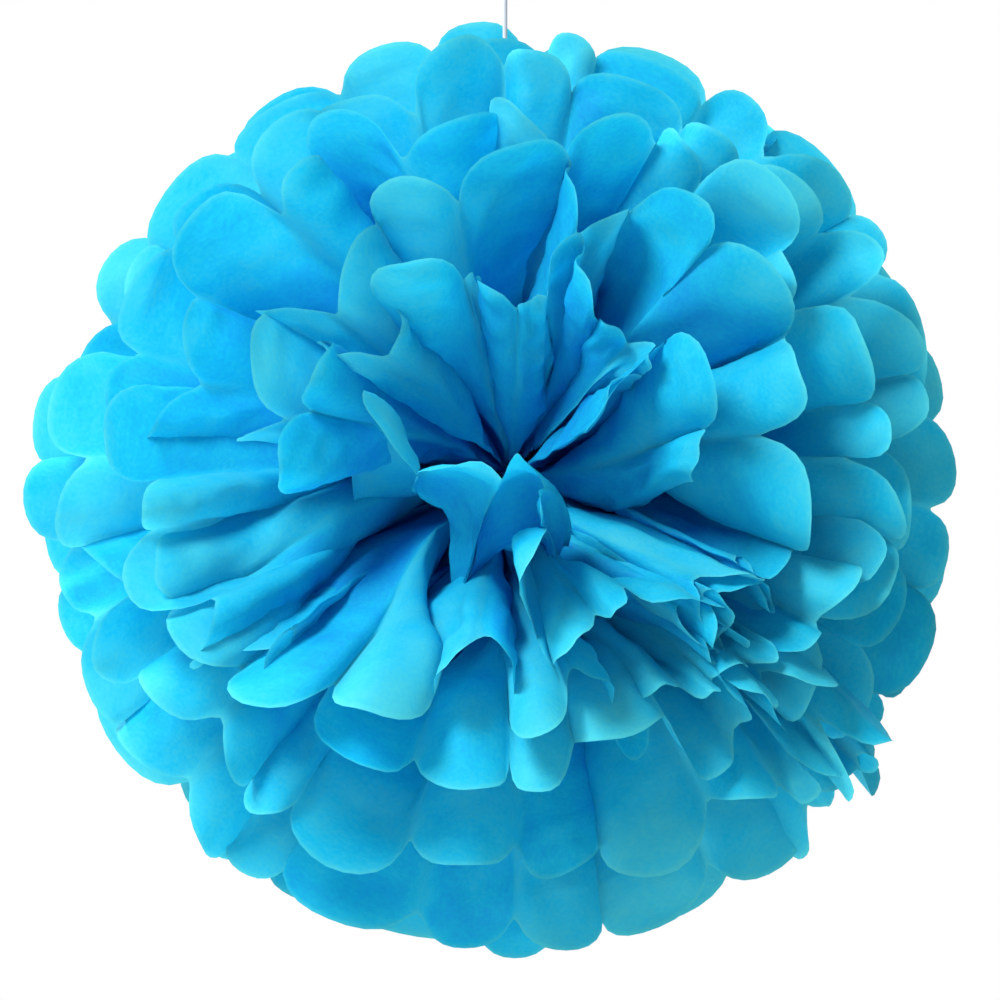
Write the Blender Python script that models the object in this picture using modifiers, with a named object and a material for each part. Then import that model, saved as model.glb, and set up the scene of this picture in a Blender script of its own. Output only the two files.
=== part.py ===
"""Tissue paper pom pom, hung by a thread.

Ten sheets of tissue are laid on each other, pleated together into a strip, tied round the middle
and cut round at both ends. Each end is opened into a fan, and the sheets are pulled apart, five
towards the front of the ball and five towards its back, which makes nested cups of petals.

Each sheet is one solid. It starts as a flat grid with one column for each panel between two
folds. Its middle is drawn together into a narrow waist inside the tie, and its two ends are
fanned out, pleated and rounded into petals.

Units are metres and degrees. +Z is up, and the origin is where a hook carries the loop. The
front of the ball faces -Y.
"""

import math
import random

import bmesh
import bpy
from mathutils import Matrix, Vector

# The paper.
SHEETS_A_SIDE = 5
PANEL_COUNT = 16
SHEET_WIDTH = 0.500
PAPER_THICKNESS = 0.0003
NOTCH_DEPTH = 0.012

# How much of its pleat a petal keeps at its notches and where its folds bend. The rest of its
# width goes into a belly between the folds.
NOTCH_PLEAT = 0.75
BEND_PLEAT = 0.95
DEEPEST_BELLY = 0.0060
# A panel's belly stays under this share of the room between its folds.
BELLY_SHARE = 0.14

# How far the petals of the upper and the lower fan reach from the fan's root. The lower ones hang.
UPPER_REACH = 0.1195
LOWER_REACH = 0.1260
# Where a fold bends outwards, as a distance from the fan's root.
BEND_REACH = 0.070

# How steeply the cups stand: angles between a sheet's petals and the axis through front and back.
POLE_ANGLE = 24.0
EQUATOR_ANGLE = 83.0
# How much steeper a fold stands before its bend, at the pole and at the equator.
POLE_FLARE = 9.0
EQUATOR_FLARE = 3.0

# The line where the two fans meet, turned in the plane of the ball's outline, and how far the
# upper fan opens past it on each side while the lower fan gives way.
SEAM_ANGLE = -24.0
FAN_OPENING = 13.0
# The last panels of the lower fan, which were left folded together, and the angle they fill.
BUNCHED_PANELS = 4
BUNCHED_ANGLE = 16.0

# The gathered middle, inside the tie.
WAIST_WIDTH = 0.007
WAIST_LENGTH = 0.004
LAYER_GAP = 0.0005
SEAM_GAP = 0.0014

# How unevenly the petals were pulled out.
REACH_SCATTER = 0.0030
POLAR_SCATTER = 2.4
FOLD_SCATTER = 0.20

# The tie, a soft wire with twisted ends.
TIE_DIAMETER = 0.0006
TIE_CLEARANCE = 0.0003
TWIST_LENGTH = 0.006
TWIST_TURNS = 2
TWIST_GAP = 0.0002

# The thread that the ball hangs from.
THREAD_DIAMETER = 0.0012
THREAD_CLEARANCE = 0.0003
THREAD_ABOVE_BALL = 0.019
LOOP_LENGTH = 0.014
LOOP_WIDTH = 0.007
KNOT_LENGTH = 0.0036
KNOT_WIDTH = 0.0030

# Facets.
RIM_CUTS = 3
BEND_CUTS = 1
THREAD_STEP = 3 * THREAD_DIAMETER
TUBE_RESOLUTION = 2
LOOP_POINTS = 16
KNOT_SEGMENTS = 8
KNOT_RINGS = 6
TIE_POINTS_PER_CORNER = 3
TWIST_POINTS_PER_TURN = 6

# Finishes, with colours as linear values.
TISSUE_COLOUR = (0.02, 0.46, 0.80, 1.0)
TISSUE_ROUGHNESS = 0.8
WIRE_COLOUR = (0.55, 0.56, 0.58, 1.0)
WIRE_ROUGHNESS = 0.4
THREAD_COLOUR = (0.86, 0.86, 0.86, 1.0)
THREAD_ROUGHNESS = 0.6

# What follows from the sizes above.
UPPER, LOWER = 1, -1
FAN_REACH = {UPPER: UPPER_REACH, LOWER: LOWER_REACH}
SHEET_COUNT = 2 * SHEETS_A_SIDE
PANEL_WIDTH = SHEET_WIDTH / PANEL_COUNT
LAYER_PITCH = PAPER_THICKNESS + LAYER_GAP
MIDDLE_GAP = THREAD_DIAMETER + 2 * THREAD_CLEARANCE
STACK_HALF_HEIGHT = MIDDLE_GAP / 2 + PAPER_THICKNESS + (SHEETS_A_SIDE - 1) * LAYER_PITCH
BALL_TOP = WAIST_LENGTH / 2 + UPPER_REACH
BALL_CENTRE = Vector((0.0, 0.0, -(BALL_TOP + THREAD_ABOVE_BALL + LOOP_LENGTH)))
KNOT_HEIGHT = -LOOP_LENGTH

FRONT = Vector((0.0, -1.0, 0.0))
ALONG_SEAM = Vector((math.cos(math.radians(SEAM_ANGLE)), 0.0, math.sin(math.radians(SEAM_ANGLE))))
ACROSS_SEAM = Vector((-ALONG_SEAM.z, 0.0, ALONG_SEAM.x))

# The rows of a sheet's grid, from the lower fan's rim through the waist to the upper fan's rim.
STATIONS = ("rim", "bend", "hub", "waist", "waist", "hub", "bend", "rim")
LAST_ROW = len(STATIONS) - 1
# The flat grid is 1 wide and 1 high, and its points are found to within this.
GRID_HALF = 0.5
GRID_TOLERANCE = 1e-4


def clear_scene():
    """Remove the objects that the scene starts with."""
    for thing in list(bpy.data.objects):
        bpy.data.objects.remove(thing)


def make_material(name, colour, roughness, metallic=0.0):
    """Make a plain Principled material."""
    material = bpy.data.materials.new(name)
    material.use_nodes = True
    shader = material.node_tree.nodes["Principled BSDF"]
    shader.inputs["Base Color"].default_value = colour
    shader.inputs["Roughness"].default_value = roughness
    shader.inputs["Metallic"].default_value = metallic
    return material


def scatter(*what):
    """A number from -1 to 1 that belongs to one fold or petal and is the same on every run."""
    return random.Random("-".join(str(part) for part in what)).uniform(-1.0, 1.0)


def fan_direction(fan, angle):
    """The way a fold points in the plane of the ball's outline."""
    turn = math.radians(angle)
    return fan * math.cos(turn) * ACROSS_SEAM + math.sin(turn) * ALONG_SEAM


def fold_share(fan, u):
    """How far round its fan column u stands, from 0 to 1. Some folds of the lower fan are bunched."""
    if fan == UPPER:
        return u / PANEL_COUNT
    bunched = BUNCHED_ANGLE / (180.0 - 2 * FAN_OPENING)
    free_panels = PANEL_COUNT - BUNCHED_PANELS
    if u <= free_panels:
        return u / free_panels * (1 - bunched)
    return 1 - bunched * (PANEL_COUNT - u) / BUNCHED_PANELS


class Sheet:
    """One sheet of tissue: its side of the ball and its rank, counted from that side's pole."""

    def __init__(self, number):
        self.number = number
        self.side = 1 if number <= SHEETS_A_SIDE else -1
        self.rank = number - 1 if self.side == 1 else SHEET_COUNT - number
        share = self.rank / (SHEETS_A_SIDE - 1)
        self.angle = POLE_ANGLE + share * (EQUATOR_ANGLE - POLE_ANGLE)
        self.flare = POLE_FLARE + share * (EQUATOR_FLARE - POLE_FLARE)
        layers_out = SHEETS_A_SIDE - 1 - self.rank
        depth = MIDDLE_GAP / 2 + PAPER_THICKNESS / 2 + layers_out * LAYER_PITCH
        self.pole = self.side * FRONT
        self.layer = BALL_CENTRE + depth * self.pole
        self.hub_radius = WAIST_WIDTH / 2 + self.rank * LAYER_PITCH

    def fold_angle(self, fan, u, reach):
        """Where fold u stands in its fan. The edges close on the seam towards the rim."""
        opened = fan * FAN_OPENING * reach / UPPER_REACH
        rim_radius = FAN_REACH[fan] * math.sin(math.radians(self.angle))
        closing = math.degrees(math.asin((WAIST_LENGTH - SEAM_GAP) / 2 / rim_radius))
        at_edge = u in (0, PANEL_COUNT)
        loose = 0.0 if at_edge else FOLD_SCATTER * scatter("fold", fan, u)
        return (90.0 + opened + closing) * (2.0 * fold_share(fan, u + loose) - 1.0)

    def root(self, fan):
        """Where the fan's folds start, on the centre line of the sheet."""
        return self.layer + fan * WAIST_LENGTH / 2 * ACROSS_SEAM

    def waist_point(self, fan, u):
        """A point where the gathered waist leaves the tie."""
        return self.root(fan) + (u / PANEL_COUNT - 0.5) * WAIST_WIDTH * ALONG_SEAM

    def hub_point(self, fan, u):
        """A point on the half circle from which the pleats open."""
        angle = self.fold_angle(fan, u, self.hub_radius)
        return self.root(fan) + self.hub_radius * fan_direction(fan, angle)

    def fold_point(self, fan, u, reach, polar, kept):
        """A point on fold u, that far from the fan's root, on a pleat's ridge or in its valley."""
        direction = fan_direction(fan, self.fold_angle(fan, u, reach))
        steep = math.radians(polar)
        outward = math.sin(steep) * direction + math.cos(steep) * self.pole
        inward = math.sin(steep) * self.pole - math.cos(steep) * direction
        chord = reach * math.sin(steep) * math.pi / PANEL_COUNT
        panel = PANEL_WIDTH * math.sqrt(reach / FAN_REACH[fan])
        half_pleat = kept * math.sqrt(max(panel**2 - chord**2, 0.0)) / 2
        ridge = 1 if u % 2 else -1
        start = self.hub_point(fan, u)
        return start + (reach - self.hub_radius) * outward + self.side * ridge * half_pleat * inward

    def bend_point(self, fan, u):
        """A point where fold u bends outwards."""
        return self.fold_point(fan, u, BEND_REACH, self.angle - self.flare, BEND_PLEAT)

    def notch_point(self, fan, u):
        """The notch between two petals, at the end of fold u."""
        loose = REACH_SCATTER * scatter("notch", self.number, fan, u)
        reach = FAN_REACH[fan] - NOTCH_DEPTH + loose
        polar = self.angle + POLAR_SCATTER * scatter("polar", self.number, fan, u)
        return self.fold_point(fan, u, reach, polar, NOTCH_PLEAT)

    def belly(self, fan, left, right):
        """The bulge of a panel towards the pole: as a flat arc, it takes up the panel's width."""
        across = right - left
        width = across.length
        outward = ((left + right) / 2 - self.root(fan)).normalized()
        room = abs(across.dot(outward.cross(self.pole).normalized()))
        depth = math.sqrt(3 / 8 * width * max(PANEL_WIDTH - width, 0.0))
        direction = across.cross(outward).normalized()
        if direction.dot(self.pole) < 0:
            direction.negate()
        return min(depth, DEEPEST_BELLY, BELLY_SHARE * room) * direction

    def panel_point(self, station, fan, u):
        """A point between two folds: the middle of a panel's bend, or part of a petal's round end."""
        place = self.bend_point if station == "bend" else self.notch_point
        fold = math.floor(u)
        left = place(fan, fold)
        right = place(fan, fold + 1)
        turn = math.pi * (u - fold)
        point = left.lerp(right, (1 - math.cos(turn)) / 2)
        point += math.sin(turn) * self.belly(fan, left, right)
        if station == "rim":
            outward = ((left + right) / 2 - BALL_CENTRE).normalized()
            tip = NOTCH_DEPTH + REACH_SCATTER * scatter("petal", self.number, fan, fold)
            point += tip * math.sin(turn) * outward
        return point

    def place(self, row, u):
        """Where a point of the flat grid goes when the sheet is pleated, tied and fanned."""
        fan = UPPER if row > LAST_ROW / 2 else LOWER
        station = STATIONS[row]
        if u != round(u):
            return self.panel_point(station, fan, u)
        points = {
            "rim": self.notch_point,
            "bend": self.bend_point,
            "hub": self.hub_point,
            "waist": self.waist_point,
        }
        return points[station](fan, round(u))


def edges_along(bm, station):
    """The edges of the flat grid that run across the panels at both rows of a station."""
    heights = [row / LAST_ROW - GRID_HALF for row, name in enumerate(STATIONS) if name == station]

    def on_row(edge, height):
        return all(abs(vertex.co.y - height) < GRID_TOLERANCE for vertex in edge.verts)

    return [edge for edge in bm.edges if any(on_row(edge, height) for height in heights)]


def make_sheet(number, material, collection):
    """Lay a flat grid, cut its ends into petals, and fold it to its place in the ball."""
    sheet = Sheet(number)
    bm = bmesh.new()
    bmesh.ops.create_grid(bm, x_segments=PANEL_COUNT, y_segments=LAST_ROW, size=GRID_HALF)
    bmesh.ops.subdivide_edges(bm, edges=edges_along(bm, "rim"), cuts=RIM_CUTS)
    bmesh.ops.subdivide_edges(bm, edges=edges_along(bm, "bend"), cuts=BEND_CUTS)
    for vertex in bm.verts:
        row = round((vertex.co.y + GRID_HALF) * LAST_ROW)
        column = (vertex.co.x + GRID_HALF) * PANEL_COUNT
        fold = round(column)
        vertex.co = sheet.place(row, fold if abs(column - fold) < GRID_TOLERANCE else column)
    bmesh.ops.triangulate(bm, faces=bm.faces, quad_method="BEAUTY", ngon_method="BEAUTY")
    bmesh.ops.recalc_face_normals(bm, faces=bm.faces)
    mesh = bpy.data.meshes.new(f"sheet_{number:02d}")
    bm.to_mesh(mesh)
    bm.free()
    mesh.materials.append(material)
    node = bpy.data.objects.new(f"sheet_{number:02d}", mesh)
    collection.objects.link(node)
    paper = node.modifiers.new("paper", "SOLIDIFY")
    paper.thickness = PAPER_THICKNESS
    paper.offset = 0.0
    return node


def make_tube(name, points, diameter, material, collection, closed=False):
    """A wire or thread along points, as a curve with a round bevel."""
    curve = bpy.data.curves.new(name, "CURVE")
    curve.dimensions = "3D"
    curve.bevel_depth = diameter / 2
    curve.bevel_resolution = TUBE_RESOLUTION
    curve.use_fill_caps = not closed
    spline = curve.splines.new("POLY")
    spline.points.add(len(points) - 1)
    for end, point in zip(spline.points, points):
        end.co = (*point, 1.0)
    spline.use_cyclic_u = closed
    curve.materials.append(material)
    node = bpy.data.objects.new(name, curve)
    collection.objects.link(node)
    return node


def rounded_box_path(half_width, half_height, radius):
    """Points round a rectangle with round corners, as (width, height), from its right side on."""
    corners = ((1, 1, 0), (-1, 1, 90), (-1, -1, 180), (1, -1, 270))
    points = []
    for right, top, start in corners:
        for step in range(TIE_POINTS_PER_CORNER):
            turn = math.radians(start + 90.0 * step / (TIE_POINTS_PER_CORNER - 1))
            points.append(
                (
                    right * (half_width - radius) + radius * math.cos(turn),
                    top * (half_height - radius) + radius * math.sin(turn),
                )
            )
    return points


def make_tie(material, collection):
    """The wire round the waists. Its ends leave side by side and are twisted along the seam."""
    clear = TIE_CLEARANCE + TIE_DIAMETER / 2
    half_width = WAIST_WIDTH / 2 + clear
    half_height = STACK_HALF_HEIGHT + clear
    strand = (TIE_DIAMETER + TWIST_GAP) / 2
    loop = rounded_box_path(half_width, half_height, clear)
    points = [BALL_CENTRE + w * ALONG_SEAM + h * FRONT for w, h in loop]
    steps = TWIST_TURNS * TWIST_POINTS_PER_TURN
    start = half_width + 2 * strand

    def twisted(phase):
        """One strand of the twist, from the loop outwards."""
        line = []
        for step in range(steps + 1):
            turn = 2 * math.pi * TWIST_TURNS * step / steps + phase
            out = start + TWIST_LENGTH * step / steps
            aside = strand * (math.cos(turn) * FRONT + math.sin(turn) * ACROSS_SEAM)
            line.append(BALL_CENTRE + out * ALONG_SEAM + aside)
        return line

    first = twisted(0.0)
    second = twisted(math.pi)
    return make_tube("tie_wire", first[::-1] + points + second, TIE_DIAMETER, material, collection)


def make_thread(material, collection):
    """The taut thread, from inside the tie up between the two middle sheets to the knot."""
    start = BALL_CENTRE.z
    end = KNOT_HEIGHT - KNOT_LENGTH / 2 - THREAD_CLEARANCE
    steps = math.ceil((end - start) / THREAD_STEP)
    points = [Vector((0.0, 0.0, start + (end - start) * step / steps)) for step in range(steps + 1)]
    return make_tube("hanging_thread", points, THREAD_DIAMETER, material, collection)


def make_knot(material, helpers):
    """The lump of the knot, which the loop is joined to."""
    bm = bmesh.new()
    bmesh.ops.create_uvsphere(bm, u_segments=KNOT_SEGMENTS, v_segments=KNOT_RINGS, radius=0.5)
    bmesh.ops.scale(bm, vec=(KNOT_WIDTH, KNOT_WIDTH, KNOT_LENGTH), verts=bm.verts)
    mesh = bpy.data.meshes.new("knot")
    bm.to_mesh(mesh)
    bm.free()
    mesh.materials.append(material)
    knot = bpy.data.objects.new("knot", mesh)
    knot.matrix_world = Matrix.Translation((0.0, 0.0, KNOT_HEIGHT))
    knot.hide_render = True
    knot.display_type = "WIRE"
    helpers.objects.link(knot)
    return knot


def make_loop(material, collection, helpers):
    """The loop that a hook carries, joined to the knot under it."""
    top = THREAD_DIAMETER / 2
    bottom = KNOT_HEIGHT
    points = []
    for step in range(LOOP_POINTS):
        turn = 2 * math.pi * step / LOOP_POINTS
        share = (1 - math.cos(turn)) / 2
        width = LOOP_WIDTH / 2 * math.sin(turn) * math.sqrt(math.sin(turn / 2))
        points.append(Vector((width, 0.0, bottom + (top - bottom) * share)))
    tube = make_tube("loop_path", points, THREAD_DIAMETER, material, collection, closed=True)
    bpy.context.view_layer.update()
    ready = tube.evaluated_get(bpy.context.evaluated_depsgraph_get())
    loop = bpy.data.objects.new("hanging_loop", bpy.data.meshes.new_from_object(ready))
    collection.objects.link(loop)
    bpy.data.objects.remove(tube)
    union = loop.modifiers.new("knot", "BOOLEAN")
    union.operation = "UNION"
    union.object = make_knot(material, helpers)
    return loop


def main():
    """Build the pom pom."""
    clear_scene()
    collection = bpy.data.collections.new("tissue_pom_pom")
    helpers = bpy.data.collections.new("helpers")
    bpy.context.scene.collection.children.link(collection)
    bpy.context.scene.collection.children.link(helpers)
    tissue = make_material("tissue_paper", TISSUE_COLOUR, TISSUE_ROUGHNESS)
    wire = make_material("tie_wire", WIRE_COLOUR, WIRE_ROUGHNESS, metallic=1.0)
    thread = make_material("hanging_thread", THREAD_COLOUR, THREAD_ROUGHNESS)
    for number in range(1, SHEET_COUNT + 1):
        make_sheet(number, tissue, collection)
    make_tie(wire, collection)
    make_thread(thread, collection)
    make_loop(thread, collection, helpers)


main()
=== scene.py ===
"""Looks of a hanging tissue paper pom pom.

Ten sheets of tissue, pleated together, tied round the middle and opened into nested cups of
petals, are modelled as thin curved surfaces with their folds, bellies, curled tips and creases.
A white thread holds the ball by the tie inside it.

Lengths are in metres and angles in degrees. The front of the ball faces -Y.
"""

import logging
import math
import random
from dataclasses import dataclass, field
from enum import Enum
from typing import Any, Sequence

import bpy
import numpy as np
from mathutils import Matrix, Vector


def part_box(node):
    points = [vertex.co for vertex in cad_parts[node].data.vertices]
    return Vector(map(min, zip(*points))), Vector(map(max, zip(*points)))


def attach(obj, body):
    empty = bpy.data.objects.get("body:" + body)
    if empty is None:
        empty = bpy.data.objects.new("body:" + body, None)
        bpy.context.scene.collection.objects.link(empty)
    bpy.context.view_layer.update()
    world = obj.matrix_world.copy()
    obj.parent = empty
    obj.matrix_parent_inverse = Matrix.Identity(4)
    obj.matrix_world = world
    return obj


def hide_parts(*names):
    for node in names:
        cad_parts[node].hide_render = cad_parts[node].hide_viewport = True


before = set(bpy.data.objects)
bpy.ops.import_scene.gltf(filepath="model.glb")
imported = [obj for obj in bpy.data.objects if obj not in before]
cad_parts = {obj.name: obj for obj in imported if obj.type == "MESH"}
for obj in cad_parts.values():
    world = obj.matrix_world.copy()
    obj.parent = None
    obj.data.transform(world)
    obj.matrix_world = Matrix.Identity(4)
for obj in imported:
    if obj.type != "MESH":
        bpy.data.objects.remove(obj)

LOG = logging.getLogger("pom_pom")

Colour = tuple[float, float, float, float]
Zone = tuple[float, float]


class Fan(Enum):
    """The two ends of a tied sheet, each opened into a fan."""

    UPPER = 1
    LOWER = -1


class Side(Enum):
    """The way a sheet is pulled from the middle of the ball."""

    FRONT = 1
    BACK = -1


def scatter(*what: object) -> float:
    """Give a number from -1 to 1 that belongs to one thing and is the same on every run.

    Args:
        what: words and numbers that name the thing.

    Returns:
        The number.
    """
    return random.Random("-".join(str(part) for part in what)).uniform(-1.0, 1.0)


def smooth(value: np.ndarray, low: float, high: float) -> np.ndarray:
    """Give the share, from 0 to 1, that eases in between the values low and high."""
    share = np.clip((value - low) / (high - low), 0.0, 1.0)
    return share * share * (3.0 - 2.0 * share)


def unit(vectors: np.ndarray) -> np.ndarray:
    """Scale vectors to length 1 along their last axis."""
    return vectors / np.maximum(np.linalg.norm(vectors, axis=-1, keepdims=True), 1e-12)


def deselect() -> None:
    """Let go of every object."""
    bpy.ops.object.select_all(action="DESELECT")


@dataclass(frozen=True)
class Signal:
    """A number that runs along a shader's wires, so that node maths reads as Python."""

    shader: "Shader"
    socket: bpy.types.NodeSocket

    def _math(self, operation: str, first: Any, second: Any) -> "Signal":
        """Add one Math node for two values or signals."""
        node = self.shader.node("Math", {0: first, 1: second}, operation=operation)
        return Signal(self.shader, node.outputs[0])

    def __add__(self, other: Any) -> "Signal":
        """Add."""
        return self._math("ADD", self, other)

    def __radd__(self, other: Any) -> "Signal":
        """Add to a plain number."""
        return self._math("ADD", other, self)

    def __sub__(self, other: Any) -> "Signal":
        """Subtract."""
        return self._math("SUBTRACT", self, other)

    def __rmul__(self, other: Any) -> "Signal":
        """Multiply a plain number."""
        return self._math("MULTIPLY", other, self)

    def __abs__(self) -> "Signal":
        """Drop the sign."""
        return self._math("ABSOLUTE", self, 0.0)


class Shader:
    """The node tree of a material or a world."""

    def __init__(self, owner: bpy.types.Material | bpy.types.World, output: str) -> None:
        """Start an empty tree with an output node.

        Args:
            owner: the material or world.
            output: the output node's type name, without ShaderNode.
        """
        self.owner = owner
        self.owner.use_nodes = True
        self.tree = self.owner.node_tree
        self.tree.nodes.clear()
        self.output = self.node(output, {})

    @classmethod
    def material(cls, name: str) -> "Shader":
        """Start a new material."""
        return cls(bpy.data.materials.new(name), "OutputMaterial")

    def node(self, kind: str, inputs: dict[Any, Any], **settings: Any) -> bpy.types.Node:
        """Add any node.

        Args:
            kind: the node's type name, without ShaderNode.
            inputs: values, signals or sockets for its inputs, by name or number.
            settings: its own settings, which are set first.

        Returns:
            The node.
        """
        node = self.tree.nodes.new(f"ShaderNode{kind}")
        for name, value in settings.items():
            if name == "stops":
                self._set_stops(node, value)
            else:
                setattr(node, name, value)
        for key, value in inputs.items():
            self.feed(node.inputs[key], value)
        return node

    def feed(self, socket: bpy.types.NodeSocket, value: Any) -> None:
        """Link one input to a signal or socket, or set it to a number or colour."""
        value = value.socket if isinstance(value, Signal) else value
        if isinstance(value, bpy.types.NodeSocket):
            self.tree.links.new(value, socket)
        else:
            socket.default_value = value

    @staticmethod
    def _set_stops(node: bpy.types.Node, stops: Sequence[tuple[float, tuple]]) -> None:
        """Set a colour ramp's stops, as pairs of a place and a colour."""
        ramp = node.color_ramp
        while len(ramp.elements) > 1:
            ramp.elements.remove(ramp.elements[0])
        ramp.elements[0].position, ramp.elements[0].color = stops[0]
        for place, colour in stops[1:]:
            ramp.elements.new(place).color = colour

    def mix_colour(self, share: Any, first: Any, second: Any) -> bpy.types.NodeSocket:
        """Mix two colours, by the share of the second."""
        node = self.node("Mix", {0: share, 6: first, 7: second}, data_type="RGBA")
        return node.outputs[2]

    def finish(self, surface: bpy.types.Node) -> Any:
        """Link the last shader node to the output, and give the material or world."""
        self.feed(self.output.inputs[0], surface.outputs[0])
        return self.owner


@dataclass(frozen=True)
class TissueFinish:
    """Dyed tissue paper: thin, matt, mottled by its fibres and lit from behind, with painted shade
    towards the tie and painted highlights on rims and folds.
    """

    colour: Colour = (0.006, 0.515, 0.765, 1.0)
    pale: Colour = (0.078, 0.625, 0.700, 1.0)
    deep: Colour = (0.001, 0.290, 0.740, 1.0)
    through: float = 0.31
    fibre_scale: float = 900.0
    cloud_scale: float = 55.0
    fibre_lift: float = 0.38
    cloud_lift: float = 0.80
    petal_lift: float = 0.25
    # Painted highlight along the cut rims of the petals.
    edge_lift: float = 0.28
    # Painted highlight along the fold lines.
    fold_lift: float = 0.14
    # Painted shade towards the tie and painted light towards the tips: the tone changes by this
    # much a metre of reach, either side of the reach below.
    paler_out: float = 5.0
    paler_from: float = 0.096
    roughness: float = 0.72
    fibre_height: float = 0.0003

    def material(self) -> bpy.types.Material:
        """Build the material, which reads the sheet's UV map and its petal attribute."""
        shader = Shader.material("tissue_paper")
        paper = shader.node("UVMap", {}, uv_map="paper").outputs[0]
        petal = shader.node("Attribute", {}, attribute_name="petal").outputs["Color"]
        parts = shader.node("SeparateColor", {0: petal})
        # The petal attribute: each petal's random tone, and the masks of the painted highlights on
        # rims and folds.
        shade, edge, fold = (Signal(shader, parts.outputs[k]) for k in range(3))
        fibres = self._noise(shader, paper, self.fibre_scale, 3.0)
        clouds = self._noise(shader, paper, self.cloud_scale, 4.0)
        lift = self.fibre_lift * (fibres - 0.5) + self.cloud_lift * (clouds - 0.5)
        lift = lift + self.petal_lift * (shade - 0.5) + 0.5
        along = Signal(shader, shader.node("SeparateXYZ", {0: paper}).outputs[1])
        # Painted highlights along the cut rims and along the folds.
        tone = lift + self.edge_lift * edge + self.fold_lift * fold
        # Painted shade and light: darker towards the tie, paler towards the petal tips.
        tone = tone + self.paler_out * (abs(along) - self.paler_from)
        stops = ((0.15, self.deep), (0.5, self.colour), (0.95, self.pale))
        colour = shader.node("ValToRGB", {0: tone}, stops=stops).outputs[0]
        height = fibres + 2.0 * clouds
        relief = {"Strength": 0.30, "Distance": self.fibre_height, "Height": height}
        bump = shader.node("Bump", relief).outputs[0]
        front = shader.node(
            "BsdfPrincipled",
            {
                "Base Color": colour,
                "Roughness": self.roughness,
                "Specular IOR Level": 0.22,
                "Normal": bump,
            },
        )
        back = shader.node("BsdfTranslucent", {"Color": colour, "Normal": bump})
        both = {0: self.through, 1: front.outputs[0], 2: back.outputs[0]}
        return shader.finish(shader.node("MixShader", both))

    @staticmethod
    def _noise(shader: Shader, where: Any, scale: float, detail: float) -> Signal:
        """Add a noise texture in the paper's own plane."""
        inputs = {"Vector": where, "Scale": scale, "Detail": detail, "Roughness": 0.62}
        return Signal(shader, shader.node("TexNoise", inputs).outputs[0])


@dataclass(frozen=True)
class ThreadFinish:
    """White twisted sewing thread."""

    colour: Colour = (0.80, 0.81, 0.82, 1.0)
    shade: Colour = (0.55, 0.57, 0.60, 1.0)
    twist_scale: float = 900.0
    twist_slant: tuple[float, float, float] = (0.0, 0.6, 0.0)
    strand_height: float = 0.0002

    def material(self) -> bpy.types.Material:
        """Build the material, with painted shade in slanting bands between the twisted strands."""
        shader = Shader.material("white_thread")
        place = shader.node("TexCoord", {}).outputs["Object"]
        turned = shader.node("Mapping", {"Vector": place, "Rotation": self.twist_slant})
        bands = {"Vector": turned.outputs[0], "Scale": self.twist_scale, "Distortion": 0.4}
        wave = shader.node("TexWave", bands, bands_direction="Z")
        strand = Signal(shader, wave.outputs["Fac"])
        relief = {"Strength": 0.7, "Distance": self.strand_height, "Height": strand}
        bump = shader.node("Bump", relief)
        body = shader.node(
            "BsdfPrincipled",
            {
                "Base Color": shader.mix_colour(strand, self.shade, self.colour),
                "Roughness": 0.7,
                "Sheen Weight": 0.2,
                "Normal": bump.outputs[0],
            },
        )
        return shader.finish(body)


@dataclass(frozen=True)
class WireFinish:
    """Soft galvanised wire."""

    colour: Colour = (0.56, 0.57, 0.59, 1.0)
    dull: Colour = (0.38, 0.39, 0.41, 1.0)
    blotch_scale: float = 700.0

    def material(self) -> bpy.types.Material:
        """Build the material, with the dull blotches of a zinc coat."""
        shader = Shader.material("galvanised_wire")
        place = shader.node("TexCoord", {}).outputs["Object"]
        fine = {"Vector": place, "Scale": self.blotch_scale, "Detail": 3.0}
        blotch = Signal(shader, shader.node("TexNoise", fine).outputs[0])
        body = shader.node(
            "BsdfPrincipled",
            {
                "Base Color": shader.mix_colour(blotch, self.colour, self.dull),
                "Metallic": 1.0,
                "Roughness": 0.25 + 0.3 * blotch,
            },
        )
        return shader.finish(body)


@dataclass(frozen=True)
class Ball:
    """The sizes that all sheets share, as the solids have them."""

    sheets_a_side: int = 5
    panels: int = 16
    sheet_width: float = 0.500
    paper_thickness: float = 0.0003
    notch_depth: float = 0.012
    upper_reach: float = 0.1195
    lower_reach: float = 0.1260
    pole_angle: float = 24.0
    equator_angle: float = 83.0
    pole_flare: float = 9.0
    equator_flare: float = 3.0
    seam_angle: float = -24.0
    fan_opening: float = 13.0
    bunched_panels: int = 4
    bunched_angle: float = 16.0
    waist_width: float = 0.007
    waist_length: float = 0.004
    layer_gap: float = 0.0005
    middle_gap: float = 0.0018
    reach_scatter: float = 0.0030
    polar_scatter: float = 2.4
    fold_scatter: float = 0.20

    @property
    def panel_width(self) -> float:
        """Give the distance between two folds of the flat sheet."""
        return self.sheet_width / self.panels

    @property
    def centre(self) -> np.ndarray:
        """Give the middle of the tie, where the thread starts."""
        low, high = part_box("hanging_thread")
        return np.array([(low[0] + high[0]) / 2, (low[1] + high[1]) / 2, low[2]])

    @property
    def along_seam(self) -> np.ndarray:
        """Give the way the seam between the fans runs."""
        turn = math.radians(self.seam_angle)
        return np.array([math.cos(turn), 0.0, math.sin(turn)])

    @property
    def across_seam(self) -> np.ndarray:
        """Give the way from the lower fan to the upper fan."""
        along = self.along_seam
        return np.array([-along[2], 0.0, along[0]])

    def reach(self, fan: Fan) -> float:
        """Give how far a fan's petals reach from its root."""
        return self.upper_reach if fan is Fan.UPPER else self.lower_reach


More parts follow.
